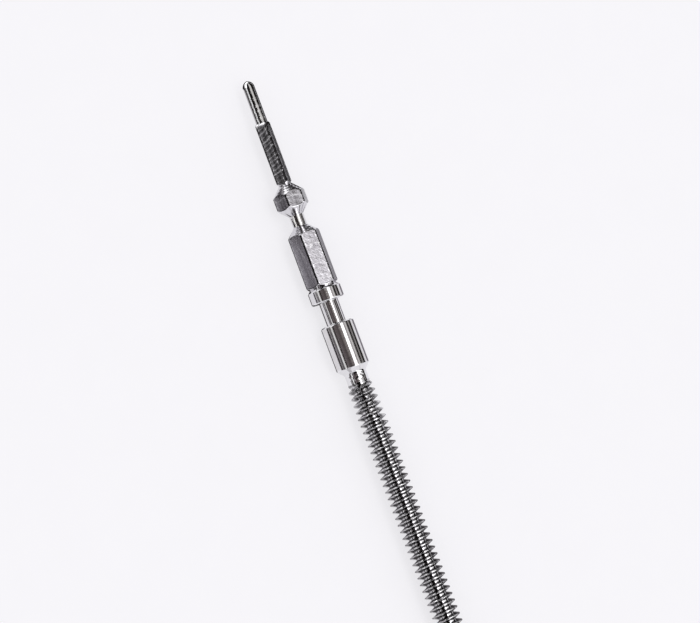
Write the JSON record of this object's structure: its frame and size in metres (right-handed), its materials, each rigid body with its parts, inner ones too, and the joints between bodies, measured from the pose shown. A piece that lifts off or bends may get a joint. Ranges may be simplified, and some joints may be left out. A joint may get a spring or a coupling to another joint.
{
  "type": "watch winding stem",
  "caption": "Slim steel winding stem: pilot, square, two hexagonal lengths, collar, setting lever groove, bearing hub and long threaded shank.",
  "frame": {"origin": "on the stem's axis, in the plane of the bearing hub's front shoulder, the face towards the setting lever groove", "axes": "+X along the axis from the pilot's tip towards the free end of the thread, +Z square to one flat of the hexagons, +Y completing a right-handed frame"},
  "size_m": [0.0203, 0.001, 0.001],
  "materials": {
    "turned_steel": "hardened steel, turned and polished",
    "milled_steel": "hardened steel, flats left from the milling cutter",
    "threaded_steel": "hardened steel, cut thread"
  },
  "bodies": {
    "root": {"pilot_pivot": "turned_steel", "clutch_square": "milled_steel", "front_hexagon": "milled_steel", "free_neck": "turned_steel", "rear_hexagon": "milled_steel", "shoulder_collar": "turned_steel", "lever_groove": "turned_steel", "bearing_hub": "turned_steel", "thread_relief": "turned_steel", "crown_thread": "threaded_steel"}
  },
  "joints": []
}
